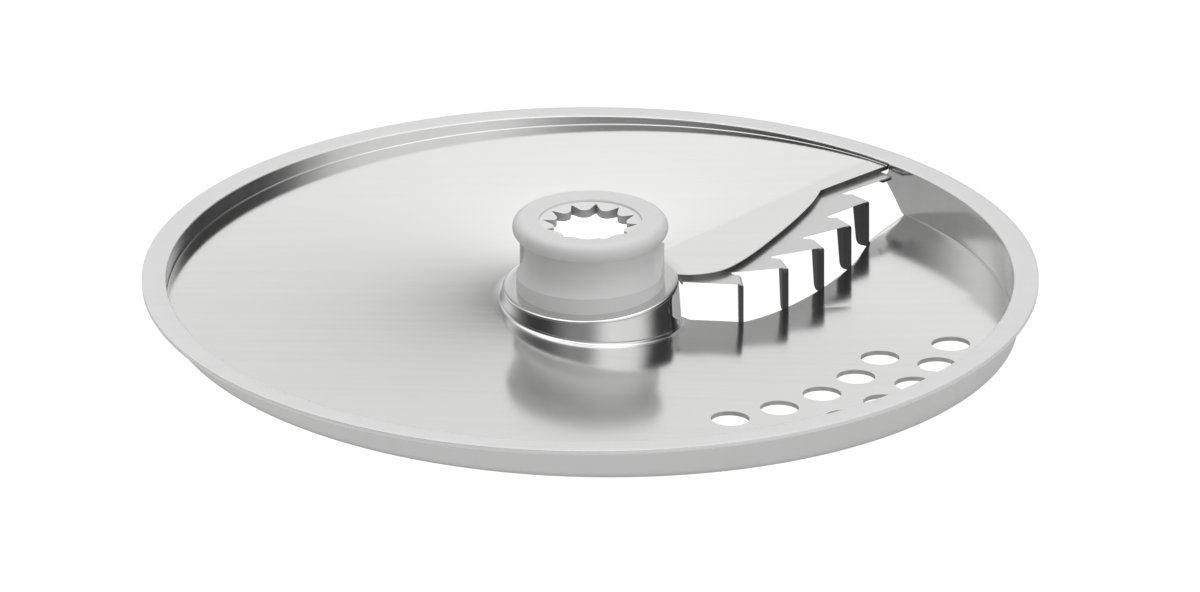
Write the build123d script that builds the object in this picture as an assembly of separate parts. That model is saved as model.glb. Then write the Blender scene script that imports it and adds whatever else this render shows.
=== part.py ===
from build123d import *
import math
import os

# Chip-cutting disc of a food processor, millimetres, +Z up.
# The origin is on the spin axis, level with the bottom of the hub.
# Angles run counter-clockwise seen from above, from +X. In use the disc spins clockwise,
# so food slides down the spiral floor and meets the blade.

# Driving dimensions: the stainless dish
RIM_Z = 9.4                 # top of the rim flange above the hub's bottom
RIM_R = 60.0
WALL_R = 56.6               # inner face of the rim wall
BOSS_R = 12.0               # outer face of the raised boss round the hub
SHEET = 0.6
CORNER_R = 0.6              # inside radius of the drawn corners
RIM_RELIEF = 0.35
WALL_REACH = 9.0            # height that a wall is drawn to before it is trimmed

PLATFORM_Z = RIM_Z - 0.45   # the high, level end of the floor
LOW_Z = RIM_Z - 6.5         # the low, level end of the floor
PLATFORM_START = 5.0
RAMP_TOP_ANGLE = 49.0
RAMP_END_ANGLE = 370.0
LOW_END_ANGLE = 43.5        # the low rim wall is sheared through here
HIGH_START_ANGLE = 45.5     # and the high rim wall here
BOSS_SHEAR_ANGLE = 12.0     # the boss's tall wall ends here, under the platform
BOSS_LIP = 0.15             # sheet left round the boss's foot beside the blade

LEDGE_Z = RIM_Z - 0.55      # the boss's top at the axis
LEDGE_TILT = 4.0            # the boss's top leans, highest at LEDGE_HIGH_ANGLE
LEDGE_HIGH_ANGLE = 57.0
LEDGE_RELIEF = 0.25
LEDGE_HOLE_R = 8.6

DRAIN_R = 2.6
DRAIN_ROWS = ((40.9, 5, 297.2, 11.0), (48.8, 6, 304.8, 9.18))   # radius, count, first angle, step

# Driving dimensions: the blade
BLADE_SHEET = 0.5
BLADE_START_R = 12.4
BLADE_START_ANGLE = 6.9
BLADE_TIP_R = 54.6          # outer end of the last cutting edge
BLADE_TIP_ANGLE = 43.5
BLADE_END_R = 55.6
FIN_FIRST_R = 20.5
FIN_PITCH = 6.8
FIN_ANGLES = (1.7, 13.9, 23.5, 31.4, 38.6)
FIN_LENGTH = 3.0
FIN_FOOT = 2.1              # length of a fin's lower edge
FIN_BOTTOM = RIM_Z - 7.7
FIN_TOE_R = 0.8
FIN_TIP_R = 0.4
BEND_R = 0.45
GRIND = 1.2                 # width of the ground faces on the cutting edges
GRIND_LAND = 0.05           # thickness left at a ground edge
GRIND_CLEAR = 0.2           # the grinding stops this far before a bend
SLIT_IN = 1.1               # relief slit behind each fin: inward reach and width
SLIT_WIDTH = 0.7
FLOOR_GAP = 0.5             # the floor's edge stops this far before the fins

# Driving dimensions: the plastic hub
HUB_R = 9.9
NECK_R = 8.7
SCOOP_RISE = 3.5            # from a finger scoop's lip to its deepest line
SCOOP_Z = RIM_Z + 1.0       # a lip's height on the axis
SCOOP_TILT = 1.4            # lean of each scoop
SCOOP_HIGH_ANGLE = -20.0    # where the front scoop's lip is highest
SCOOP_END_ANGLE = -2.0      # the ridge where the front scoop's leaning end rises to
SCOOP_END_LEAN = 43.0
SCOOP_END_Z = RIM_Z + 4.6
FRONT_SCOOP_START = -198.0
REAR_SCOOP_START = -161.0   # counted, like every angle of the rear scoop, from REAR_SCOOP_TURN
REAR_SCOOP_TURN = 162.0
KNOB_R = 10.44
KNOB_Z = RIM_Z + 7.54
KNOB_EDGE_R = 1.35
INSERT_R = 6.87
KNOB_LIP_Z = RIM_Z + 8.6    # the hollow top's lowest ring, where the insert is let in
INSERT_TOP = RIM_Z + 8.3    # at the ring's outside; its top is a shallow cone
SPLINE_TOP = RIM_Z + 7.7    # at the socket's middle
INSERT_BOTTOM = RIM_Z + 6.8
SPLINE_ROOT_R = 6.4
SPLINE_FLANK_R = 5.15
SPLINE_CREST_R = 4.9
SPLINE_TEETH = 12
SPLINE_ROOT_ANGLE = -7.0
CAVITY_R = 6.45             # the wider space under the insert
CAVITY_BOTTOM = RIM_Z + 2.0
BORE_R = 5.2
SPIGOT_R = 8.5
SPIGOT_BOTTOM = RIM_Z - 3.2
BASE_R = 11.2
BASE_CHAMFER = 0.6
SCREW_CIRCLE_R = 7.0
SCREW_COUNT = 3
SCREW_R = 0.85
SCREW_HEAD_R = 1.6
SCREW_HEAD = 1.1
SCREW_SEAT_Z = 2.0
SCREW_TIP_Z = RIM_Z + 1.2
SCREW_SLOT = 0.4
TINY = 0.02                 # clearance of pieces that sit against each other


def polar(radius, angle):
    """A plan point at a radius and an angle in degrees."""
    turn = math.radians(angle)
    return (radius * math.cos(turn), radius * math.sin(turn))


def arc_angle(length, radius):
    """The angle in degrees that a short length takes at a radius."""
    return math.degrees(length / radius)


def column(radius, bottom, top):
    centred = (Align.CENTER, Align.CENTER, Align.MIN)
    return Pos(0, 0, bottom) * Cylinder(radius, top - bottom, align=centred)


def pipe(outer, inner, bottom, top):
    return column(outer, bottom, top) - column(inner, bottom - 1, top + 1)


def plan_prism(lines, bottom, top):
    """A closed plan outline raised to a solid between two heights."""
    return Pos(0, 0, bottom) * extrude(make_face(lines), amount=top - bottom)


def sector(start, end, bottom, top):
    """A pie slice wider than the disc."""
    reach = 3 * RIM_R
    middle = (start + end) / 2
    corners = [(0, 0), polar(reach, start), polar(reach, middle), polar(reach, end)]
    return plan_prism(Polyline(*corners, close=True), bottom, top)


def above_leaning_plane(z, tilt, high_angle):
    """Everything above a plane that leans by tilt and is highest at high_angle."""
    size = 3 * RIM_R
    block = Box(size, size, size, align=(Align.CENTER, Align.CENTER, Align.MIN))
    return Pos(0, 0, z) * Rot(0, 0, high_angle) * Rot(0, -tilt, 0) * block


def above_ledge(drop=0.0):
    return above_leaning_plane(LEDGE_Z - drop, LEDGE_TILT, LEDGE_HIGH_ANGLE)


def channel_section(floor_z):
    """The dish cut through at one angle: boss wall, floor and rim wall of one sheet."""
    inner = CORNER_R
    outer = CORNER_R + SHEET
    top = floor_z + WALL_REACH
    bend_z = floor_z + inner
    boss_bend = BOSS_R + inner
    wall_bend = WALL_R - inner
    lines = [
        Line((BOSS_R, top), (BOSS_R, bend_z)),
        CenterArc((boss_bend, bend_z), inner, 180, 90),
        Line((boss_bend, floor_z), (wall_bend, floor_z)),
        CenterArc((wall_bend, bend_z), inner, 270, 90),
        Line((WALL_R, bend_z), (WALL_R, top)),
        Line((WALL_R, top), (WALL_R + SHEET, top)),
        Line((WALL_R + SHEET, top), (WALL_R + SHEET, bend_z)),
        CenterArc((wall_bend, bend_z), outer, 270, 90),
        Line((wall_bend, floor_z - SHEET), (boss_bend, floor_z - SHEET)),
        CenterArc((boss_bend, bend_z), outer, 180, 90),
        Line((BOSS_R - SHEET, bend_z), (BOSS_R - SHEET, top)),
        Line((BOSS_R - SHEET, top), (BOSS_R, top)),
    ]
    return Plane.XZ * make_face(lines)


def level_channel(floor_z, start, end):
    """A level stretch of the dish between two angles."""
    return Rot(0, 0, start) * revolve(channel_section(floor_z), Axis.Z, revolution_arc=end - start)


def ramp_channel():
    """The spiral stretch, which falls steadily from the platform to the low floor."""
    turn = RAMP_END_ANGLE - RAMP_TOP_ANGLE
    fall = PLATFORM_Z - LOW_Z
    path_r = (BOSS_R + WALL_R) / 2
    path = Helix(fall * 360 / turn, fall, path_r, lefthand=True)
    section = channel_section(0)
    swept = sweep(section, path=path, is_frenet=True)
    return Pos(0, 0, LOW_Z) * Rot(0, 0, RAMP_END_ANGLE) * swept


def floor_edge():
    """The low floor's edge in plan: round the boss's foot, straight out, then past the five fins."""
    beside_fins = []
    for index, angle in enumerate(FIN_ANGLES):
        radius = FIN_FIRST_R + index * FIN_PITCH
        beside_fins.append(polar(radius, angle - arc_angle(FLOOR_GAP, radius)))
    foot_r = BOSS_R + BOSS_LIP
    on_boss = polar(BOSS_R - 2 * SHEET, BOSS_SHEAR_ANGLE)
    wall_end = polar(WALL_R - CORNER_R, 42.0)
    round_boss = [polar(foot_r, angle) for angle in (BOSS_SHEAR_ANGLE, 9.0, 6.0)]
    return [Polyline(on_boss, *round_boss, beside_fins[0]), Spline(*beside_fins, wall_end)]


def platform_edge():
    """The platform's front edge in plan, which runs back along the blade's steps."""
    bend = (30.8, 31.8)
    curve = Spline(polar(BOSS_R - 2 * SHEET, 11.0), (16.2, 3.0), (22.0, 10.25), (27.0, 20.8), bend)
    return [curve, Line(bend, polar(WALL_R - CORNER_R, 45.6))]


def cut_beside(edge, wall_angle, far_angle):
    """The space on one side of a plan edge, between a cut through the rim wall and a far angle."""
    outside = 1.6 * RIM_R
    hub_point = edge[0] @ 0
    rim_point = edge[-1] @ 1
    around = Polyline(
        (rim_point.X, rim_point.Y),
        polar(outside, wall_angle),
        polar(outside, far_angle),
        polar(BOSS_R - 3 * SHEET, far_angle),
        (hub_point.X, hub_point.Y),
    )
    return plan_prism(edge + [around], 0, 3 * RIM_Z)


def dish_floor():
    """Floor and walls before the flange: low floor, ramp and platform."""
    low = level_channel(LOW_Z, RAMP_END_ANGLE - 360, LOW_END_ANGLE + 2) + ramp_channel()
    low -= cut_beside(floor_edge(), LOW_END_ANGLE, RAMP_TOP_ANGLE - 1)
    high = level_channel(PLATFORM_Z, PLATFORM_START, RAMP_TOP_ANGLE)
    high -= cut_beside(platform_edge(), HIGH_START_ANGLE, -20)
    return low + high


def edge_relief(corner_r, size, side):
    """A ring that takes the corner off a wall's top; side is 1 where the metal is inside corner_r."""
    over = 0.5
    high = (corner_r - side * (size + over), over)
    low = (corner_r + side * over, -size - over)
    corners = Polyline(high, low, (low[0], high[1]), close=True)
    return revolve(Plane.XZ * make_face(corners), Axis.Z)


def leaning(shape):
    """Moves a shape made about the axis onto the boss's leaning top."""
    return Pos(0, 0, LEDGE_Z) * Rot(0, 0, LEDGE_HIGH_ANGLE) * Rot(0, -LEDGE_TILT, 0) * shape


def boss_top():
    """The boss's leaning top inside its wall, with its hole for the hub."""
    middle_of_wall = BOSS_R - SHEET / 2
    cap = column(middle_of_wall, 0, 2 * RIM_Z) & above_ledge(SHEET)
    return cap - column(LEDGE_HOLE_R, 0, 3 * RIM_Z) - above_ledge()


def drain_holes():
    holes = []
    for radius, count, first, step in DRAIN_ROWS:
        for index in range(count):
            x, y = polar(radius, first + index * step)
            holes.append(Pos(x, y, 0) * column(DRAIN_R, 0, RIM_Z))
    return holes


def disc_plate():
    """The drawn stainless dish."""
    plate = dish_floor()
    plate -= pipe(RIM_R + 5, WALL_R - 5, RIM_Z, 3 * RIM_Z)
    plate -= column(BOSS_R + 2, 0, 3 * RIM_Z) & above_ledge()
    plate += pipe(RIM_R, WALL_R + SHEET / 2, RIM_Z - SHEET, RIM_Z)
    plate += boss_top()
    plate -= Pos(0, 0, RIM_Z) * edge_relief(WALL_R, RIM_RELIEF, -1)
    plate -= leaning(edge_relief(BOSS_R, LEDGE_RELIEF, 1))
    return plate - drain_holes()


def fin_corners():
    """Front and rear ends of each fin's bend line in plan, from the hub outwards."""
    corners = []
    for index, angle in enumerate(FIN_ANGLES):
        radius = FIN_FIRST_R + index * FIN_PITCH
        rear = angle + arc_angle(FIN_LENGTH, radius)
        corners.append((polar(radius, angle), polar(radius, rear), radius, rear))
    return corners


def blade_outline():
    """The comb's plan: six stepped cutting edges, a relief slit behind every fin, a hidden back."""
    points = [polar(BLADE_START_R, BLADE_START_ANGLE)]
    for front, rear, radius, rear_angle in fin_corners():
        slit_r = radius - SLIT_IN
        width = arc_angle(SLIT_WIDTH, slit_r)
        slit = [polar(slit_r, rear_angle + width), polar(slit_r, rear_angle + 2 * width)]
        points += [front, rear] + slit
    points += [polar(BLADE_TIP_R, BLADE_TIP_ANGLE), polar(BLADE_END_R, BLADE_TIP_ANGLE + 0.1)]
    back_angle = RAMP_TOP_ANGLE - 0.3
    points += [polar(BLADE_END_R, back_angle), polar(BLADE_START_R + 2, back_angle)]
    return Polyline(*points, close=True)


def fin(front, rear):
    """One fin: a tab bent down from a strip's outer side, with a rounded foot."""
    along = Vector(rear[0] - front[0], rear[1] - front[1]).normalized()
    top = PLATFORM_Z - SHEET
    height = top - FIN_BOTTOM
    tab = Polyline((0, 0), (FIN_LENGTH, 0), (FIN_FOOT, -height), (0, -height), close=True)
    tab = make_face(tab)
    by_foot = tab.vertices().sort_by(Axis.Y)
    feet = by_foot[0:2].sort_by(Axis.X)
    tab = fillet(feet[1], FIN_TOE_R)
    front_foot = tab.vertices().filter_by(lambda v: v.Y < -height / 2).sort_by(Axis.X)[0]
    tab = fillet(front_foot, FIN_TIP_R)
    frame = Plane((front[0], front[1], top), x_dir=along, z_dir=along.cross(Vector(0, 0, 1)))
    return frame * extrude(tab, amount=-BLADE_SHEET)


def grinding(start, end, side):
    """The wedge ground off along one cutting edge, down to a thin land on the face opposite.
    It runs from start to end along that face, and side points from that face through the sheet."""
    along = (end - start).normalized()
    slope = (BLADE_SHEET - GRIND_LAND) / GRIND
    spare = GRIND / 3
    deep = -BLADE_SHEET - spare * slope
    wedge = Polyline((-spare, spare * slope - GRIND_LAND), (GRIND + spare, deep), (-spare, deep), close=True)
    frame = Plane(start, x_dir=along.cross(side), z_dir=along)
    return frame * extrude(make_face(wedge), amount=(end - start).length)


def cutting_edges(top):
    """Both ends of each of the six cutting edges, from the hub outwards."""
    starts = [polar(BLADE_START_R, BLADE_START_ANGLE)]
    ends = []
    for front, rear, radius, rear_angle in fin_corners():
        slit_r = radius - SLIT_IN
        starts.append(polar(slit_r, rear_angle + 2 * arc_angle(SLIT_WIDTH, slit_r)))
        ends.append(front)
    ends.append(polar(BLADE_TIP_R, BLADE_TIP_ANGLE))
    return [(Vector(*start, top), Vector(*end, top)) for start, end in zip(starts, ends)]


def chip_blade():
    """The comb-shaped blade, one sheet spot-welded under the platform, with five fins bent down.
    The six cutting edges are ground from below, and each fin's front edge from its inner side."""
    top = PLATFORM_Z - SHEET
    blade = plan_prism(blade_outline(), top - BLADE_SHEET, top)
    for start, end in cutting_edges(top):
        along = (end - start).normalized()
        blade -= grinding(start, end - along * (BLADE_SHEET + GRIND_CLEAR), Vector(0, 0, -1))
    for front, rear, radius, rear_angle in fin_corners():
        along = Vector(rear[0] - front[0], rear[1] - front[1]).normalized()
        out = along.cross(Vector(0, 0, 1))
        foot = Vector(*front, FIN_BOTTOM - 1)
        neck = Vector(*front, top - BLADE_SHEET - GRIND_CLEAR)
        blade += fin(front, rear) - grinding(neck, foot, -out)
    bends = []
    for front, rear, radius, rear_angle in fin_corners():
        bends += blade.edges().filter_by(lambda e: on_bend(e, front, rear, top))
    return fillet(bends, BEND_R)


def on_bend(edge, front, rear, top):
    """Whether an edge is the top corner of a fin."""
    middle = edge @ 0.5
    aim = Vector((front[0] + rear[0]) / 2, (front[1] + rear[1]) / 2, top)
    return (middle - aim).length < 0.3 and edge.length > FIN_LENGTH * 0.8


def finger_scoop(start):
    """The space that one finger scoop takes out: a hollow waist that starts at an upright wall and
    runs round to a leaning one."""
    depth = HUB_R - NECK_R
    arc_r = (depth ** 2 + SCOOP_RISE ** 2) / (2 * depth)
    lip_r = HUB_R + 1.0
    lip_z = SCOOP_RISE - math.sqrt(arc_r ** 2 - (NECK_R + arc_r - lip_r) ** 2)
    far = 2 * HUB_R
    tall = 2 * SCOOP_RISE + BASE_R
    waist = [
        RadiusArc((lip_r, lip_z), (NECK_R, SCOOP_RISE), arc_r),
        Polyline((NECK_R, SCOOP_RISE), (NECK_R, tall), (far, tall), (far, lip_z), (lip_r, lip_z)),
    ]
    space = revolve(Plane.XZ * make_face(waist), Axis.Z)
    space = Pos(0, 0, SCOOP_Z) * Rot(0, 0, SCOOP_HIGH_ANGLE) * Rot(0, -SCOOP_TILT, 0) * space
    top = KNOB_Z - KNOB_EDGE_R
    middle = SCOOP_END_ANGLE - 90
    beyond = Box(far * 2, far * 2, far * 2, align=(Align.CENTER, Align.CENTER, Align.MIN))
    end_wall = Pos(0, 0, SCOOP_END_Z) * Rot(0, 0, SCOOP_END_ANGLE) * Rot(-90 - SCOOP_END_LEAN, 0, 0)
    plain_part = space & sector(start, middle, 0, top)
    end_part = (space & sector(middle, SCOOP_END_ANGLE + 20, 0, top)) - end_wall * beyond
    return plain_part, end_part


def knob():
    """The flat round knob with a fully rounded edge and a slightly hollow top."""
    edge_r = KNOB_R - KNOB_EDGE_R
    under = KNOB_Z - KNOB_EDGE_R
    lines = [
        Polyline((0, under), (edge_r, under)),
        CenterArc((edge_r, KNOB_Z), KNOB_EDGE_R, -90, 180),
        Polyline((edge_r, KNOB_Z + KNOB_EDGE_R), (INSERT_R, KNOB_LIP_Z), (0, KNOB_LIP_Z), (0, under)),
    ]
    return revolve(Plane.XZ * make_face(lines), Axis.Z)


def around_screws(shape):
    """A copy of a shape at each screw."""
    copies = []
    for index in range(SCREW_COUNT):
        copies.append(Rot(0, 0, index * 360 / SCREW_COUNT + 90) * Pos(SCREW_CIRCLE_R, 0, 0) * shape)
    return copies


def hub_grip():
    """The upper moulding: foot on the boss, scooped waist, knob, insert pocket and a spigot below."""
    body = column(HUB_R, LEDGE_Z - 2, KNOB_Z - KNOB_EDGE_R) & above_ledge()
    for part in finger_scoop(FRONT_SCOOP_START):
        body -= part
    for part in finger_scoop(REAR_SCOOP_START):
        body -= Rot(0, 0, REAR_SCOOP_TURN) * part
    body += column(SPIGOT_R, SPIGOT_BOTTOM, RIM_Z + 1)
    body += knob()
    body -= column(INSERT_R + TINY, INSERT_BOTTOM, 3 * RIM_Z)
    body -= column(CAVITY_R, CAVITY_BOTTOM, 3 * RIM_Z)
    body -= column(BORE_R, 0, 3 * RIM_Z)
    return body - around_screws(column(SCREW_R + TINY, 0, SCREW_TIP_Z + TINY))


def spline_outline():
    """Twelve blunt round lobes that meet in pointed roots."""
    outline = []
    step = 360 / SPLINE_TEETH
    for index in range(SPLINE_TEETH):
        start = SPLINE_ROOT_ANGLE + index * step
        root = polar(SPLINE_ROOT_R, start)
        rise = polar(SPLINE_FLANK_R, start + step / 4)
        crest = polar(SPLINE_CREST_R, start + step / 2)
        fall = polar(SPLINE_FLANK_R, start + 3 * step / 4)
        next_root = polar(SPLINE_ROOT_R, start + step)
        outline += [Line(root, rise), ThreePointArc(rise, crest, fall), Line(fall, next_root)]
    return outline


def drive_insert():
    """The ring pressed into the knob, with the twelve-lobed socket that the shaft's head drives."""
    hole_r = SPLINE_CREST_R - 1
    lines = Polyline(
        (hole_r, INSERT_BOTTOM),
        (INSERT_R, INSERT_BOTTOM),
        (INSERT_R, INSERT_TOP),
        (hole_r, SPLINE_TOP),
        close=True,
    )
    ring = revolve(Plane.XZ * make_face(lines), Axis.Z)
    return ring - plan_prism(spline_outline(), 0, 3 * RIM_Z)


def hub_base():
    """The lower moulding, drawn up against the boss from below, with the shaft's bore."""
    body = column(BASE_R, 0, 2 * RIM_Z) - above_ledge(SHEET + TINY)
    body = chamfer(body.edges().group_by(Axis.Z)[0], BASE_CHAMFER)
    body -= column(SPIGOT_R + TINY, SPIGOT_BOTTOM - TINY, 3 * RIM_Z)
    body -= column(BORE_R, -1, 3 * RIM_Z)
    body -= around_screws(column(SCREW_R + 0.1, -1, 2 * RIM_Z))
    return body - around_screws(column(SCREW_HEAD_R + 0.2, -1, SCREW_SEAT_Z))


def hub_screws():
    """Three small cross-head screws that clamp the dish between the two mouldings."""
    low = SCREW_SEAT_Z - SCREW_HEAD
    head = column(SCREW_HEAD_R, low, SCREW_SEAT_Z)
    head = fillet(head.edges().group_by(Axis.Z)[0], SCREW_SLOT)
    shank = column(SCREW_R, SCREW_SEAT_Z - TINY, SCREW_TIP_Z)
    shank = chamfer(shank.edges().group_by(Axis.Z)[-1], SCREW_R * 0.6)
    slot = Pos(0, 0, low) * Box(2 * SCREW_HEAD_R * 0.7, SCREW_SLOT, SCREW_HEAD)
    screw = head + shank - slot - Rot(0, 0, 90) * slot
    return Compound(around_screws(screw))


def main():
    os.makedirs("parts", exist_ok=True)
    nodes = {
        "disc_plate": disc_plate(),
        "chip_blade": chip_blade(),
        "hub_grip": hub_grip(),
        "drive_insert": drive_insert(),
        "hub_base": hub_base(),
        "hub_screws": hub_screws(),
    }
    for name, shape in nodes.items():
        export_step(shape, f"parts/{name}.step")


main()
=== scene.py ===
import math

import bmesh
import bpy
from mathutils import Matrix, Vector


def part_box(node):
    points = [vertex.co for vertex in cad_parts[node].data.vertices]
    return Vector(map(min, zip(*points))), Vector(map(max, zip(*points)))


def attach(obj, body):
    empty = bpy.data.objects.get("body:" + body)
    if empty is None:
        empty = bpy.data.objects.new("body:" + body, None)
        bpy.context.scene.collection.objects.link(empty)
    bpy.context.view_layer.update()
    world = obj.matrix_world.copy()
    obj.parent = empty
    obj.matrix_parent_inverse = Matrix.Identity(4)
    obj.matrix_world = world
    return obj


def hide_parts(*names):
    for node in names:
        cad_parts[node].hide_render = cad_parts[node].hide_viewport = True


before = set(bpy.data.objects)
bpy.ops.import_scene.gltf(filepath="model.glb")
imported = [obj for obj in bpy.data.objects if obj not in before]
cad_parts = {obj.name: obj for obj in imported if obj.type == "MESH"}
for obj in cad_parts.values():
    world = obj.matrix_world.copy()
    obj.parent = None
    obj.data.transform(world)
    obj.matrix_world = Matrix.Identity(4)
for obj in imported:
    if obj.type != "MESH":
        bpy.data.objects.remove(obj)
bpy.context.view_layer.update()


# ---------------------------------------------------------------------------------------------
# Dish plate. One drawn stainless sheet: flat rim flange, rim wall, a spiral floor that falls from
# a high platform to a low landing before the blade, and a mirror-bright boss for the hub.
# The floor is fine-brushed in one direction, and eleven drain holes are punched through it.

# Lengths are in millimetres, angles in degrees, and heights count from the rim flange's top.

MM = 0.001
RIM_TOP = 9.4        # above the hub's foot
RIM_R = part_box("disc_plate")[1].x / MM
SHEET = 0.6
BOSS_TOP_R, BOSS_FOOT_R = 11.8, 12.15
WALL_FOOT_R, WALL_TOP_R = 56.5, 56.75
CORNER, BOSS_CORNER = 0.16, 0.6
BOSS_ROUND, LEAST_WALL = 0.4, 0.15
BOSS_CUT, EASE_FROM = 12.0, 345.0
PLATFORM, LANDING = -0.45, -6.5
RAMP_FROM, RAMP_TO = 49.0, 370.0
LEDGE_AXIS, LEDGE_LEAN, LEDGE_HIGH, LEDGE_HOLE_R = -0.55, 4.0, 57.0, 8.6
RIM_FLAT_R, RIM_DROOP = 57.4, 0.06
RIM_CUT = 45.5                                   # the high wall is sheared through here
WALL_SHEAR = (0.8, 1.6, 2.5, 3.3, 2.6, 2.4)      # how far the low wall's slanting end runs on, by row
LEDGE_STEPS, BEND_STEPS, BOSS_STEPS, FLANGE_STEPS = 5, 6, 5, 8


def ledge_height(radius, angle):
    """The boss's top leans, and is highest towards LEDGE_HIGH."""
    slope = math.tan(math.radians(LEDGE_LEAN))
    return LEDGE_AXIS + slope * radius * math.cos(math.radians(angle - LEDGE_HIGH))


def floor_height(angle):
    turned = min(max(angle, RAMP_FROM), RAMP_TO)
    return PLATFORM + (LANDING - PLATFORM) * (turned - RAMP_FROM) / (RAMP_TO - RAMP_FROM)


def curve_through(points, x):
    """A smooth curve through a few points, read at x."""
    last = len(points) - 1
    k = 0
    while k < last - 1 and x > points[k + 1][0]:
        k += 1
    (x0, y0), (x1, y1) = points[k], points[k + 1]
    before = points[max(k - 1, 0)]
    after = points[min(k + 2, last)]
    t = min(max((x - x0) / (x1 - x0), 0.0), 1.0)
    m0 = (y1 - before[1]) / (x1 - before[0]) * (x1 - x0)
    m1 = (after[1] - y0) / (after[0] - x0) * (x1 - x0)
    return ((2 * t**3 - 3 * t**2 + 1) * y0 + (t**3 - 2 * t**2 + t) * m0
            + (3 * t**2 - 2 * t**3) * y1 + (t**3 - t**2) * m1)


PLATFORM_EDGE = ((12.0, 10.4), (15.2, 9.7), (18.0, 12.3), (21.1, 18.7), (24.3, 25.0), (28.0, 30.8),
                 (32.0, 35.5), (36.5, 39.7), (41.0, 43.3), (44.3, 46.0))
LANDING_EDGE = ((20.5, 0.3), (27.3, 12.85), (34.1, 22.7), (40.9, 30.7), (47.7, 38.0), (56.0, 42.0))


def platform_edge(radius):
    if radius > PLATFORM_EDGE[-1][0]:
        along = (radius - PLATFORM_EDGE[-1][0]) / (WALL_FOOT_R - PLATFORM_EDGE[-1][0])
        return PLATFORM_EDGE[-1][1] - 0.4 * along
    return curve_through(PLATFORM_EDGE, radius)


def landing_edge(radius):
    if radius < LANDING_EDGE[0][0]:
        across = 1.28 - (radius - 12.2) * 0.141
        return math.degrees(math.asin(across / radius))
    return curve_through(LANDING_EDGE, radius)


def boss_fit(angle):
    """The share of their full size that the boss's roundings have room for where its wall is low.
    They ease into the same size on the tall side, before the sheet is cut through."""
    room = BOSS_ROUND + BOSS_CORNER + LEAST_WALL
    fit = min(1.0, (ledge_height(BOSS_TOP_R, angle) - floor_height(angle)) / room)
    end_fit = (ledge_height(BOSS_TOP_R, BOSS_CUT) - PLATFORM) / room
    late = min(max((angle - EASE_FROM) / (360 + BOSS_CUT - EASE_FROM), 0.0), 1.0)
    late = late * late * (3 - 2 * late)
    return fit + (end_fit - fit) * late


def boss_wall(angle):
    """Top and foot of the boss's wall between its roundings, and its radius at the foot."""
    top = ledge_height(BOSS_TOP_R, angle) - BOSS_ROUND * boss_fit(angle)
    foot = floor_height(angle) + BOSS_CORNER * boss_fit(angle)
    return top, foot, BOSS_TOP_R + (BOSS_FOOT_R - BOSS_TOP_R) * (top - foot) / 5


def wall_turn(angle):
    """How far the floor turns up into the rim wall: a right angle, or less where the wall is low."""
    return math.acos(max(0.0, 1 + floor_height(angle) / (2 * CORNER)))


def wall_radius(depth):
    """The rim wall leans out by a few degrees, so its middle is nearer to the axis where it is tall."""
    return WALL_TOP_R - (WALL_TOP_R - WALL_FOOT_R) * depth / 5.9


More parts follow.
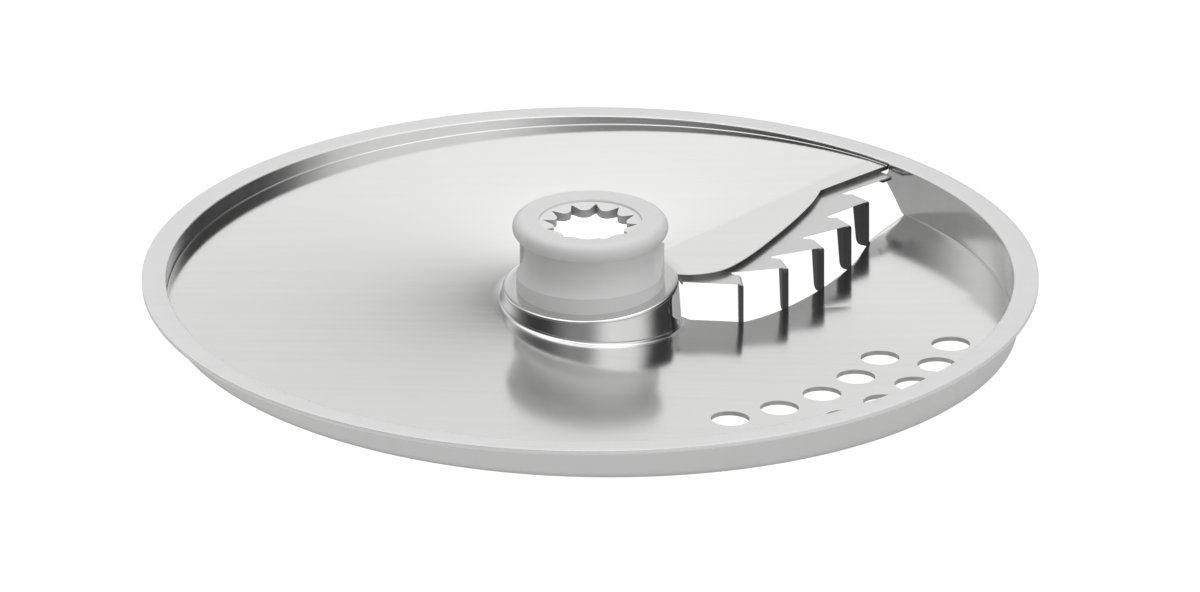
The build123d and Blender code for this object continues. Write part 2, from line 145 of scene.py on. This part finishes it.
def dish_rows():
    """Rows of the sheet's upper face from the hub's hole out to the rim, each a function of the
    angle that gives radius and height, with the angles that it starts and ends at, and its finish."""
    rows = []
    whole = (BOSS_CUT, 360 + BOSS_CUT)
    cut = (BOSS_CUT, 360 + BOSS_CUT - 0.4)
    floor_start = 13.4
    for k in range(LEDGE_STEPS):
        radius = LEDGE_HOLE_R + (BOSS_TOP_R - BOSS_ROUND - LEDGE_HOLE_R) * k / (LEDGE_STEPS - 1)
        rows.append((lambda a, r=radius: (r, ledge_height(r, a)), whole, "ledge"))
    for k in range(1, BEND_STEPS + 1):
        def rounding(a, turn=math.radians(90 * k / BEND_STEPS)):
            radius = BOSS_TOP_R - BOSS_ROUND * boss_fit(a) * (1 - math.sin(turn))
            return radius, ledge_height(radius, a) - BOSS_ROUND * boss_fit(a) * (1 - math.cos(turn))
        rows.append((rounding, whole, "boss"))
    for k in range(1, BOSS_STEPS + 1):
        def wall(a, part=k / BOSS_STEPS):
            top, foot, foot_r = boss_wall(a)
            return BOSS_TOP_R + (foot_r - BOSS_TOP_R) * part, top + (foot - top) * part
        rows.append((wall, cut, "boss"))
    for k in range(1, BEND_STEPS + 1):
        def fillet(a, turn=math.radians(90 * k / BEND_STEPS)):
            top, foot, foot_r = boss_wall(a)
            bend = BOSS_CORNER * boss_fit(a)
            return foot_r + bend - bend * math.cos(turn), foot - bend * math.sin(turn)
        rows.append((fillet, cut, "boss"))
    first_fin, corner = LANDING_EDGE[0][0], PLATFORM_EDGE[-1][0]
    radii = [floor_start + (first_fin - floor_start) * k / 8 for k in range(9)]
    radii += [first_fin + (corner - first_fin) * k / 26 for k in range(1, 27)]
    radii += [corner + (WALL_FOOT_R - CORNER - corner) * k / 12 for k in range(1, 13)]
    for radius in radii:
        span = (platform_edge(radius), 360 + landing_edge(radius))
        rows.append((lambda a, r=radius: (r, floor_height(a)), span, "floor"))
    for k in range(1, BEND_STEPS + 1):
        def floor_bend(a, part=k / BEND_STEPS):
            turn = part * wall_turn(a)
            centre = wall_radius(-floor_height(a) / 2) - CORNER * math.sin(wall_turn(a))
            return centre + CORNER * math.sin(turn), floor_height(a) + CORNER - CORNER * math.cos(turn)
        span = (RIM_CUT + 0.1 - 0.1 * k / BEND_STEPS, 402.0 + 0.7 * k / BEND_STEPS)
        rows.append((floor_bend, span, "wall"))
    for k in range(1, BEND_STEPS + 1):
        def rim_wall(a, part=k / BEND_STEPS):
            bend = CORNER - CORNER * math.cos(wall_turn(a))
            foot = floor_height(a) + bend
            height = foot + (-bend - foot) * part
            return wall_radius(-floor_height(a) / 2), height
        rows.append((rim_wall, (RIM_CUT, 402.7 + WALL_SHEAR[k - 1]), "wall"))
    for k in range(1, BEND_STEPS + 1):
        def rim_bend(a, part=1 - k / BEND_STEPS):
            turn = part * wall_turn(a)
            centre = wall_radius(-floor_height(a) / 2) + CORNER * math.sin(wall_turn(a))
            return centre - CORNER * math.sin(turn), CORNER * math.cos(turn) - CORNER
        rows.append((rim_bend, (RIM_CUT, 360 + RIM_CUT), "rim"))
    for k in range(1, FLANGE_STEPS + 1):
        radius = RIM_FLAT_R + (RIM_R - 0.05 - RIM_FLAT_R) * k / FLANGE_STEPS
        droop = RIM_DROOP * (k / FLANGE_STEPS) ** 2
        rows.append((lambda a, r=radius, d=droop: (r, -d), (RIM_CUT, 360 + RIM_CUT), "rim"))
    return rows


def sheet_angles(start, end):
    """Angles across one row: fine on the platform and the landing, one degree on the ramp."""
    ramp_end = min(RAMP_TO, end - 2)
    steps = ((start, RAMP_FROM, 34), (RAMP_FROM, ramp_end, 300), (ramp_end, end, 34))
    angles = [start]
    for low, high, count in steps:
        angles += [low + (high - low) * k / count for k in range(1, count + 1)]
    return angles


def place(radius, angle, height):
    turn = math.radians(angle)
    return Vector((radius * math.cos(turn), radius * math.sin(turn), RIM_TOP + height)) * MM


def piece_from(bm, name):
    mesh = bpy.data.meshes.new(name)
    bm.to_mesh(mesh)
    bm.free()
    piece = bpy.data.objects.new(name, mesh)
    bpy.context.scene.collection.objects.link(piece)
    return piece


FINISHES = ("floor", "wall", "rim", "boss", "ledge", "sheared", "punched")
rows = dish_rows()
profiles = [[(*shape(angle), angle) for angle in sheet_angles(*span)] for shape, span, finish in rows]
finishes = [FINISHES.index(finish) for shape, span, finish in rows]
rings = [span[1] - span[0] == 360 for shape, span, finish in rows]
ROUNDED = LEDGE_STEPS + BEND_STEPS                # rows to the end of the ledge's rounding
WALLED = ROUNDED + BOSS_STEPS                     # and to the foot of the boss's wall
FLANGE = len(rows) - FLANGE_STEPS                 # the flange's first row
RIM_BEND = FLANGE - BEND_STEPS                    # the first row of the bend into it
WALL_BEND = RIM_BEND - 2 * BEND_STEPS             # and of the bend at the wall's foot


def under(i, j):
    """The sheet's lower face under one point, one thickness away along the profile's normal. Inside
    a tight bend the lower face meets in a plain corner."""
    r, z, angle = profiles[i][j]
    r0, z0 = profiles[max(i - 1, 0)][j][:2]
    r1, z1 = profiles[min(i + 1, len(rows) - 1)][j][:2]
    run = math.hypot(r1 - r0, z1 - z0)
    low_r, low_z = r + SHEET * (z1 - z0) / run, z - SHEET * (r1 - r0) / run
    ledge_under = ledge_height(BOSS_TOP_R, angle) - SHEET
    wall_outside = wall_radius(-floor_height(angle) / 2) + SHEET
    if LEDGE_STEPS <= i < ROUNDED:
        low_r, low_z = BOSS_TOP_R - SHEET, ledge_under
    elif ROUNDED <= i < WALLED:
        low_z = min(low_z, ledge_under)
    elif WALL_BEND <= i < RIM_BEND:
        low_r, low_z = min(low_r, wall_outside), min(low_z, -SHEET)
    elif i >= RIM_BEND:
        low_r, low_z = max(low_r, wall_outside), z - SHEET if i >= FLANGE else -SHEET
    return place(low_r, angle, low_z)


SAME_POINT = 0.003 * MM
bm = bmesh.new()


def net(spot_of):
    """Vertices of one face of the sheet, row by row. A row that goes all the way round closes on its
    own first point, and a point that falls on the one before it in its column is shared."""
    columns = []
    for i, profile in enumerate(profiles):
        row = []
        for j in range(len(profile) - rings[i]):
            spot = spot_of(i, j)
            before = columns[-1][j] if columns else None
            same = before is not None and (before.co - spot).length < SAME_POINT
            row.append(before if same else bm.verts.new(spot))
        columns.append(row + row[:1] if rings[i] else row)
    return columns


def over(i, j):
    r, z, angle = profiles[i][j]
    return place(r, angle, z)


upper, lower = net(over), net(under)


def sheet_face(finish, *corners):
    corners = list(dict.fromkeys(corners))
    if len(corners) > 2:
        face = bm.faces.new(corners)
        face.material_index = finish
        face.smooth = True


end = len(profiles[0]) - 1
sheared = FINISHES.index("sheared")
for i in range(len(rows) - 1):
    a, b, c, d = upper[i], upper[i + 1], lower[i], lower[i + 1]
    for j in range(end):
        sheet_face(finishes[i + 1], a[j], b[j], b[j + 1], a[j + 1])
        sheet_face(finishes[i + 1], c[j + 1], d[j + 1], d[j], c[j])
    if not (rings[i] and rings[i + 1]):
        sheet_face(sheared, a[0], c[0], d[0], b[0])
        sheet_face(sheared, b[end], d[end], c[end], a[end])
for j in range(end):
    sheet_face(sheared, upper[0][j], upper[0][j + 1], lower[0][j + 1], lower[0][j])
    sheet_face(sheared, lower[-1][j], lower[-1][j + 1], upper[-1][j + 1], upper[-1][j])
dish = piece_from(bm, "dish")

edge_round = dish.modifiers.new("edge_round", "BEVEL")
edge_round.limit_method = "ANGLE"
edge_round.angle_limit = math.radians(60)
edge_round.width = 0.06 * MM
edge_round.segments = 2


def socket(tree, way, kind, name, value=None):
    made = tree.interface.new_socket(name=name, in_out=way, socket_type=kind)
    if value is not None:
        made.default_value = value
    return made


def join(tree, *pairs):
    for source, target in pairs:
        tree.links.new(source, target)


def plain_mesh(piece):
    """Turns a piece with live modifiers into a plain mesh."""
    seen = piece.evaluated_get(bpy.context.evaluated_depsgraph_get())
    mesh = bpy.data.meshes.new_from_object(seen)
    piece.modifiers.clear()
    piece.data = mesh
    return piece


def drain_punches():
    """Geometry Nodes: one row of round punches along an arc."""
    tree = bpy.data.node_groups.new("drain_punches", "GeometryNodeTree")
    socket(tree, "INPUT", "NodeSocketInt", "Count", 5)
    socket(tree, "INPUT", "NodeSocketFloat", "Row Radius", 0.04)
    socket(tree, "INPUT", "NodeSocketFloat", "First Angle", 0.0)
    socket(tree, "INPUT", "NodeSocketFloat", "Step Angle", 0.1)
    socket(tree, "INPUT", "NodeSocketFloat", "Hole Radius", 0.0026)
    socket(tree, "INPUT", "NodeSocketMaterial", "Edge Finish")
    socket(tree, "OUTPUT", "NodeSocketGeometry", "Geometry")
    node = tree.nodes.new
    given, result = node("NodeGroupInput"), node("NodeGroupOutput")
    points, index = node("GeometryNodePoints"), node("GeometryNodeInputIndex")
    turn, cosine, sine = node("ShaderNodeMath"), node("ShaderNodeMath"), node("ShaderNodeMath")
    turn.operation, cosine.operation, sine.operation = "MULTIPLY_ADD", "COSINE", "SINE"
    plan, scaled = node("ShaderNodeCombineXYZ"), node("ShaderNodeVectorMath")
    scaled.operation = "SCALE"
    punch, copies = node("GeometryNodeMeshCylinder"), node("GeometryNodeInstanceOnPoints")
    punch.inputs["Vertices"].default_value = 48
    punch.inputs["Depth"].default_value = 0.02
    real, finish = node("GeometryNodeRealizeInstances"), node("GeometryNodeSetMaterial")
    join(tree,
         (given.outputs["Count"], points.inputs["Count"]),
         (index.outputs[0], turn.inputs[0]),
         (given.outputs["Step Angle"], turn.inputs[1]),
         (given.outputs["First Angle"], turn.inputs[2]),
         (turn.outputs[0], cosine.inputs[0]),
         (turn.outputs[0], sine.inputs[0]),
         (cosine.outputs[0], plan.inputs["X"]),
         (sine.outputs[0], plan.inputs["Y"]),
         (plan.outputs[0], scaled.inputs[0]),
         (given.outputs["Row Radius"], scaled.inputs["Scale"]),
         (scaled.outputs[0], points.inputs["Position"]),
         (given.outputs["Hole Radius"], punch.inputs["Radius"]),
         (points.outputs[0], copies.inputs["Points"]),
         (punch.outputs["Mesh"], copies.inputs["Instance"]),
         (copies.outputs[0], real.inputs[0]),
         (real.outputs[0], finish.inputs["Geometry"]),
         (given.outputs["Edge Finish"], finish.inputs["Material"]),
         (finish.outputs[0], result.inputs["Geometry"]))
    return tree


def with_nodes(piece, tree, values):
    """Puts a Geometry Nodes tree on a piece and sets its inputs by their identifiers."""
    modifier = piece.modifiers.new(tree.name, "NODES")
    names = {item.name: item.identifier for item in tree.interface.items_tree if item.in_out == "INPUT"}
    for name, value in values.items():
        modifier[names[name]] = value
    modifier.node_group = tree
    for name, value in values.items():
        modifier[names[name]] = value
    return plain_mesh(piece)


def brushed_steel_group():
    """Fine brushing along X: a height that smears reflections across it, and a slow drift of tone
    and roughness from band to band."""
    tree = bpy.data.node_groups.new("brushed", "ShaderNodeTree")
    socket(tree, "INPUT", "NodeSocketFloat", "Streak Scale", 1.0)
    socket(tree, "INPUT", "NodeSocketFloat", "Smooth", 0.12)
    socket(tree, "INPUT", "NodeSocketFloat", "Rough", 0.2)
    socket(tree, "INPUT", "NodeSocketColor", "Dull Tone", (0.7, 0.7, 0.7, 1.0))
    socket(tree, "INPUT", "NodeSocketColor", "Bright Tone", (0.8, 0.8, 0.8, 1.0))
    socket(tree, "OUTPUT", "NodeSocketFloat", "Height")
    socket(tree, "OUTPUT", "NodeSocketFloat", "Roughness")
    socket(tree, "OUTPUT", "NodeSocketColor", "Tone")
    node = tree.nodes.new
    given, result, place_on = node("NodeGroupInput"), node("NodeGroupOutput"), node("ShaderNodeTexCoord")
    stretch, scaled = node("ShaderNodeVectorMath"), node("ShaderNodeVectorMath")
    stretch.operation, scaled.operation = "MULTIPLY", "SCALE"
    stretch.inputs[1].default_value = (60.0, 5200.0, 1500.0)
    streaks, bands = node("ShaderNodeTexNoise"), node("ShaderNodeTexNoise")
    span = node("ShaderNodeMapRange")
    streaks.inputs["Scale"].default_value = 1.0
    streaks.inputs["Detail"].default_value = 3.0
    bands.inputs["Scale"].default_value = 0.12
    bands.inputs["Detail"].default_value = 4.0
    tone = node("ShaderNodeMix")
    tone.data_type = "RGBA"
    join(tree,
         (place_on.outputs["Object"], stretch.inputs[0]),
         (stretch.outputs[0], scaled.inputs[0]),
         (given.outputs["Streak Scale"], scaled.inputs["Scale"]),
         (scaled.outputs[0], streaks.inputs["Vector"]),
         (scaled.outputs[0], bands.inputs["Vector"]),
         (streaks.outputs["Fac"], result.inputs["Height"]),
         (bands.outputs["Fac"], span.inputs["Value"]),
         (given.outputs["Smooth"], span.inputs["To Min"]),
         (given.outputs["Rough"], span.inputs["To Max"]),
         (span.outputs[0], result.inputs["Roughness"]),
         (bands.outputs["Fac"], tone.inputs["Factor"]),
         (given.outputs["Dull Tone"], tone.inputs["A"]),
         (given.outputs["Bright Tone"], tone.inputs["B"]),
         (tone.outputs["Result"], result.inputs["Tone"]))
    return tree


def steel(name, bright, smooth, rough, relief, streak_scale=1.0, drift=0.03):
    """A stainless finish: how bright it is, its range of roughness and the depth of its brushing."""
    material = bpy.data.materials.new(name)
    material.use_nodes = True
    tree = material.node_tree
    surface = tree.nodes["Principled BSDF"]
    surface.inputs["Metallic"].default_value = 1.0
    brushed = tree.nodes.new("ShaderNodeGroup")
    brushed.name = "brushed"
    brushed.node_tree = BRUSHED
    brushed.inputs["Streak Scale"].default_value = streak_scale
    brushed.inputs["Smooth"].default_value = smooth
    brushed.inputs["Rough"].default_value = rough
    brushed.inputs["Dull Tone"].default_value = (bright - drift, bright - drift, bright - 1.2 * drift, 1.0)
    brushed.inputs["Bright Tone"].default_value = (bright + drift, bright + drift, bright + drift, 1.0)
    bump = tree.nodes.new("ShaderNodeBump")
    bump.inputs["Strength"].default_value = 1.0
    bump.inputs["Distance"].default_value = relief * MM
    join(tree,
         (brushed.outputs["Tone"], surface.inputs["Base Color"]),
         (brushed.outputs["Height"], bump.inputs["Height"]),
         (bump.outputs["Normal"], surface.inputs["Normal"]),
         (brushed.outputs["Roughness"], surface.inputs["Roughness"]))
    return material


BRUSHED = brushed_steel_group()
dish_finishes = (
    steel("steel_floor", 0.80, 0.10, 0.16, 0.0016, drift=0.04),
    steel("steel_wall", 0.77, 0.14, 0.20, 0.0008),
    steel("steel_rim", 0.93, 0.48, 0.56, 0.0012, drift=0.02),
    steel("steel_boss", 0.80, 0.04, 0.07, 0.0001, drift=0.01),
    steel("steel_ledge", 0.80, 0.16, 0.22, 0.0008),
    # The sheared edges get a near-black tone, darker than their steel: painted shade.
    steel("steel_sheared_painted_shade", 0.16, 0.25, 0.40, 0.0020, 3.0, drift=0.06),
    steel("steel_punched", 0.62, 0.12, 0.22, 0.0010, 3.0, drift=0.06),
)
for material in dish_finishes:
    dish.data.materials.append(material)

plain_mesh(dish)
punch_tree = drain_punches()
for count, row_radius, first, step in ((5, 40.9, 297.2, 11.0), (6, 48.8, 304.8, 9.18)):
    punches = piece_from(bmesh.new(), "punches")
    with_nodes(punches, punch_tree, {
        "Count": count, "Row Radius": row_radius * MM, "First Angle": math.radians(first),
        "Step Angle": math.radians(step), "Hole Radius": 2.6 * MM, "Edge Finish": dish_finishes[-1]})
    punched = dish.modifiers.new("punched", "BOOLEAN")
    punched.operation = "DIFFERENCE"
    punched.solver = "EXACT"
    punched.object = punches
    plain_mesh(dish)
    bpy.data.objects.remove(punches)
for face in dish.data.polygons:
    if face.material_index == FINISHES.index("sheared") and face.center.xy.length > (RIM_R - 1) * MM:
        face.material_index = FINISHES.index("rim")
dish.data.set_sharp_from_angle(angle=math.radians(32))

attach(dish, "root")
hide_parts("disc_plate")


# ---------------------------------------------------------------------------------------------
# Chip blade. One comb-shaped sheet of hardened stainless, spot-welded under the platform's edge.
# Its six edges are ground from below, and five fins are bent down from it and ground in front;
# their upright faces are painted near-black below the top, as painted shade and reflection.

FIN_TOP = 7.85       # above the hub's foot

blade_finish = steel("blade_steel", 0.80, 0.26, 0.34, 0.0008, 1.5)
tree = blade_finish.node_tree
where, axes, below = (tree.nodes.new(kind) for kind in
                      ("ShaderNodeTexCoord", "ShaderNodeSeparateXYZ", "ShaderNodeMapRange"))
below.inputs["From Min"].default_value = (FIN_TOP + 0.42) * MM
below.inputs["From Max"].default_value = (FIN_TOP + 0.25) * MM
facing, level, upright_shade_mask, fin_shade_mask, fin_shade = (tree.nodes.new(kind) for kind in (
    "ShaderNodeSeparateXYZ", "ShaderNodeMath", "ShaderNodeMapRange", "ShaderNodeMath", "ShaderNodeMix"))
level.operation, fin_shade_mask.operation = "ABSOLUTE", "MULTIPLY"
upright_shade_mask.inputs["From Min"].default_value = 0.75
upright_shade_mask.inputs["From Max"].default_value = 0.45
fin_shade.data_type = "RGBA"
# The fins' upright faces are painted near-black: painted shade and reflection.
fin_shade.inputs["B"].default_value = (0.10, 0.10, 0.105, 1.0)
join(tree,
     (where.outputs["Object"], axes.inputs[0]),
     (axes.outputs["Z"], below.inputs["Value"]),
     (where.outputs["Normal"], facing.inputs[0]),
     (facing.outputs["Z"], level.inputs[0]),
     (level.outputs[0], upright_shade_mask.inputs["Value"]),
     (below.outputs[0], fin_shade_mask.inputs[0]),
     (upright_shade_mask.outputs[0], fin_shade_mask.inputs[1]),
     (fin_shade_mask.outputs[0], fin_shade.inputs["Factor"]),
     (tree.nodes["brushed"].outputs["Tone"], fin_shade.inputs["A"]),
     (fin_shade.outputs["Result"], tree.nodes["Principled BSDF"].inputs["Base Color"]))


def finish_node(name, material):
    """Gives a CAD piece its finish."""
    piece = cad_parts[name]
    piece.data.materials.clear()
    piece.data.materials.append(material)


finish_node("chip_blade", blade_finish)


# ---------------------------------------------------------------------------------------------
# Hub base. The lower moulding, glass-filled plastic, which the disc stands on. It is drawn up
# against the boss from below and holds the shaft's bore.

def moulded_plastic_group():
    """Satin moulded plastic: fine spark-eroded grain, faint flow marks and a little uneven gloss."""
    tree = bpy.data.node_groups.new("moulded", "ShaderNodeTree")
    socket(tree, "INPUT", "NodeSocketColor", "Colour", (0.8, 0.8, 0.8, 1.0))
    socket(tree, "INPUT", "NodeSocketColor", "Flow Colour", (0.75, 0.75, 0.75, 1.0))
    socket(tree, "INPUT", "NodeSocketFloat", "Grain Scale", 9000.0)
    socket(tree, "INPUT", "NodeSocketFloat", "Gloss", 0.34)
    socket(tree, "INPUT", "NodeSocketFloat", "Satin", 0.46)
    socket(tree, "OUTPUT", "NodeSocketColor", "Colour")
    socket(tree, "OUTPUT", "NodeSocketFloat", "Roughness")
    socket(tree, "OUTPUT", "NodeSocketFloat", "Height")
    node = tree.nodes.new
    given, result, where = node("NodeGroupInput"), node("NodeGroupOutput"), node("ShaderNodeTexCoord")
    grain, flow, tone, gloss = (node(kind) for kind in (
        "ShaderNodeTexNoise", "ShaderNodeTexNoise", "ShaderNodeMix", "ShaderNodeMapRange"))
    tone.data_type = "RGBA"
    grain.inputs["Detail"].default_value = 2.0
    flow.inputs["Scale"].default_value = 180.0
    flow.inputs["Detail"].default_value = 5.0
    flow.inputs["Distortion"].default_value = 0.6
    join(tree,
         (where.outputs["Object"], grain.inputs["Vector"]),
         (given.outputs["Grain Scale"], grain.inputs["Scale"]),
         (where.outputs["Object"], flow.inputs["Vector"]),
         (flow.outputs["Fac"], tone.inputs["Factor"]),
         (given.outputs["Flow Colour"], tone.inputs["A"]),
         (given.outputs["Colour"], tone.inputs["B"]),
         (tone.outputs["Result"], result.inputs["Colour"]),
         (flow.outputs["Fac"], gloss.inputs["Value"]),
         (given.outputs["Gloss"], gloss.inputs["To Min"]),
         (given.outputs["Satin"], gloss.inputs["To Max"]),
         (gloss.outputs[0], result.inputs["Roughness"]),
         (grain.outputs["Fac"], result.inputs["Height"]))
    return tree


MOULDED = moulded_plastic_group()


def moulded_plastic(name, colour, flow_colour, relief=0.004):
    material = bpy.data.materials.new(name)
    material.use_nodes = True
    tree = material.node_tree
    surface = tree.nodes["Principled BSDF"]
    moulded = tree.nodes.new("ShaderNodeGroup")
    moulded.name = "moulded"
    moulded.node_tree = MOULDED
    moulded.inputs["Colour"].default_value = (*colour, 1.0)
    moulded.inputs["Flow Colour"].default_value = (*flow_colour, 1.0)
    bump = tree.nodes.new("ShaderNodeBump")
    bump.inputs["Distance"].default_value = relief * MM
    join(tree,
         (moulded.outputs["Colour"], surface.inputs["Base Color"]),
         (moulded.outputs["Roughness"], surface.inputs["Roughness"]),
         (moulded.outputs["Height"], bump.inputs["Height"]),
         (bump.outputs["Normal"], surface.inputs["Normal"]))
    return material


HUB_GREY, HUB_FLOW = (0.81, 0.81, 0.805), (0.77, 0.77, 0.77)
finish_node("hub_base", moulded_plastic("base_plastic", HUB_GREY, HUB_FLOW))


# ---------------------------------------------------------------------------------------------
# Hub grip. The upper moulding in light grey satin plastic: foot, two hollow finger scoops and a
# round knob. Its bore is white plastic, and it is made to glow white as painted light.

BORE_EDGE_R = 6.6
BORE_WHITE_AND_GLOW = (0.97, 0.97, 0.97, 1.0)

grip_finish = moulded_plastic("hub_plastic", HUB_GREY, HUB_FLOW)
tree = grip_finish.node_tree
surface = tree.nodes["Principled BSDF"]
where, flat, across, inside = (tree.nodes.new(kind) for kind in (
    "ShaderNodeTexCoord", "ShaderNodeVectorMath", "ShaderNodeVectorMath", "ShaderNodeMapRange"))
flat.operation, across.operation = "MULTIPLY", "LENGTH"
flat.inputs[1].default_value = (1.0, 1.0, 0.0)
inside.inputs["From Min"].default_value = (BORE_EDGE_R + 0.05) * MM
inside.inputs["From Max"].default_value = (BORE_EDGE_R - 0.05) * MM
whiten, bore_glow = tree.nodes.new("ShaderNodeMix"), tree.nodes.new("ShaderNodeMix")
whiten.data_type = bore_glow.data_type = "RGBA"
whiten.inputs["B"].default_value = BORE_WHITE_AND_GLOW
bore_glow.inputs["A"].default_value = (0.0, 0.0, 0.0, 1.0)
bore_glow.inputs["B"].default_value = BORE_WHITE_AND_GLOW
# The bore glows white though it is no lamp: painted light.
surface.inputs["Emission Strength"].default_value = 0.5
join(tree,
     (where.outputs["Object"], flat.inputs[0]),
     (flat.outputs[0], across.inputs[0]),
     (across.outputs["Value"], inside.inputs["Value"]),
     (inside.outputs[0], whiten.inputs["Factor"]),
     (inside.outputs[0], bore_glow.inputs["Factor"]),
     (tree.nodes["moulded"].outputs["Colour"], whiten.inputs["A"]),
     (whiten.outputs["Result"], surface.inputs["Base Color"]),
     (bore_glow.outputs["Result"], surface.inputs["Emission Color"]))
finish_node("hub_grip", grip_finish)


# ---------------------------------------------------------------------------------------------
# Drive insert. A harder ring pressed into the knob, with the twelve-lobed socket for the shaft.
# Its top is pale, and the upright walls of the lobes are painted darker, as painted shade.

insert_finish = moulded_plastic("insert_plastic", (0.88, 0.88, 0.88), (0.84, 0.84, 0.84))
tree = insert_finish.node_tree
where, axes, upright_shade_mask, wall = (tree.nodes.new(kind) for kind in (
    "ShaderNodeTexCoord", "ShaderNodeSeparateXYZ", "ShaderNodeMapRange", "ShaderNodeMix"))
upright_shade_mask.inputs["From Min"].default_value = 0.6
upright_shade_mask.inputs["From Max"].default_value = 0.3
wall.data_type = "RGBA"
# The lobes' upright walls are painted dark grey: painted shade.
wall.inputs["B"].default_value = (0.24, 0.24, 0.24, 1.0)
join(tree,
     (where.outputs["Normal"], axes.inputs[0]),
     (axes.outputs["Z"], upright_shade_mask.inputs["Value"]),
     (upright_shade_mask.outputs[0], wall.inputs["Factor"]),
     (tree.nodes["moulded"].outputs["Colour"], wall.inputs["A"]),
     (wall.outputs["Result"], tree.nodes["Principled BSDF"].inputs["Base Color"]))
finish_node("drive_insert", insert_finish)


# ---------------------------------------------------------------------------------------------
# Hub screws. Three small cross-head screws of bright steel, driven in from below, that clamp the
# boss between the two mouldings.

finish_node("hub_screws", steel("screw_steel", 0.62, 0.18, 0.30, 0.0010, 2.0, drift=0.05))


# ---------------------------------------------------------------------------------------------
# Floor, light and camera. A plain white table that glows white to the eye, under a soft studio.

FLOOR_SIZE = 3.0
BACKDROP = 1.05      # the table and the far background, as the camera sees them
bpy.ops.mesh.primitive_plane_add(size=FLOOR_SIZE)
table = bpy.context.object
table.name = "table"
white = bpy.data.materials.new("table_white")
white.use_nodes = True
tree = white.node_tree
surface = tree.nodes["Principled BSDF"]
surface.inputs["Base Color"].default_value = (0.35, 0.35, 0.35, 1.0)
surface.inputs["Roughness"].default_value = 0.9
surface.inputs["Emission Color"].default_value = (1.0, 1.0, 1.0, 1.0)
surface.inputs["Emission Strength"].default_value = 0.30
glow, mix, path = (tree.nodes.new(kind) for kind in
                   ("ShaderNodeEmission", "ShaderNodeMixShader", "ShaderNodeLightPath"))
glow.inputs["Strength"].default_value = BACKDROP
join(tree,
     (path.outputs["Is Camera Ray"], mix.inputs["Fac"]),
     (surface.outputs[0], mix.inputs[1]),
     (glow.outputs[0], mix.inputs[2]),
     (mix.outputs[0], tree.nodes["Material Output"].inputs["Surface"]))
table.data.materials.append(white)

studio = bpy.data.worlds.new("studio")
bpy.context.scene.world = studio
studio.use_nodes = True
sky = studio.node_tree


def reckon(operation, *values):
    """One Math node in the sky, with numbers or other nodes' results as its inputs."""
    made = sky.nodes.new("ShaderNodeMath")
    made.operation = operation
    for target, value in zip(made.inputs, values):
        if isinstance(value, (int, float)):
            target.default_value = value
        else:
            sky.links.new(value, target)
    return made.outputs[0]


seen, parts = sky.nodes.new("ShaderNodeTexCoord"), sky.nodes.new("ShaderNodeSeparateXYZ")
join(sky, (seen.outputs["Generated"], parts.inputs[0]))
bearing = reckon("DEGREES", reckon("ARCTAN2", parts.outputs["X"], parts.outputs["Y"]))
height = reckon("DEGREES", reckon("ARCSINE", parts.outputs["Z"]))


def softbox(turn, half_width, up, half_height, strength, edge=4.0):
    """A soft panel of light: bearing from straight behind towards the right, and height, in degrees."""
    apart = reckon("PINGPONG", reckon("ABSOLUTE", reckon("SUBTRACT", bearing, turn)), 180.0)
    across = reckon("POWER", reckon("DIVIDE", apart, half_width), edge)
    along = reckon("ABSOLUTE", reckon("DIVIDE", reckon("SUBTRACT", height, up), half_height))
    outwards = reckon("ADD", across, reckon("POWER", along, edge))
    return reckon("MULTIPLY", reckon("EXPONENT", reckon("MULTIPLY", outwards, -1.0)), strength)


SOFTBOXES = (        # bearing, half width, height, half height, strength, edge
    (4.0, 24.0, 17.0, 15.0, 0.66, 4.0),
    (-3.8, 3.4, 23.0, 6.0, 0.60, 2.0),
    (4.0, 3.0, 23.0, 6.0, 0.16, 2.0),
    (-48.0, 26.0, 22.0, 20.0, 0.80, 2.0),
    (133.0, 37.0, 22.0, 26.0, 0.92, 4.0),
    (-172.0, 34.0, 20.0, 26.0, 0.25, 3.0),
    (0.0, 400.0, 90.0, 42.0, 1.95, 4.0),
    (0.0, 400.0, 90.0, 17.0, -1.15, 4.0),      # a gap in the overhead panel
)
light = 0.045
for box in SOFTBOXES:
    light = reckon("ADD", softbox(*box), light)
by_eye = sky.nodes.new("ShaderNodeLightPath").outputs["Is Camera Ray"]
backdrop = reckon("MULTIPLY", by_eye, BACKDROP)
unseen = reckon("MULTIPLY", light, reckon("SUBTRACT", 1.0, by_eye))
join(sky, (reckon("ADD", backdrop, unseen), sky.nodes["Background"].inputs["Color"]))

VIEW_UP = math.radians(22.54)
VIEW_FAR = 1.0       # metres; the view is parallel, so this only has to clear the disc
VIEW_WIDTH = 160.36 * MM
toward = Vector((0.0, math.cos(VIEW_UP), -math.sin(VIEW_UP)))
upward = Vector((0.0, math.sin(VIEW_UP), math.cos(VIEW_UP)))
aim = Vector((1.30, 0.0, RIM_TOP)) * MM - upward * 2.31 * MM
camera = bpy.data.objects.new("camera", bpy.data.cameras.new("camera"))
bpy.context.scene.collection.objects.link(camera)
camera.location = aim - toward * VIEW_FAR
camera.rotation_mode = "QUATERNION"
camera.rotation_quaternion = toward.to_track_quat("-Z", "Y")
camera.data.type = "ORTHO"
camera.data.ortho_scale = VIEW_WIDTH
bpy.context.scene.camera = camera
bpy.context.scene.view_settings.view_transform = "Standard"
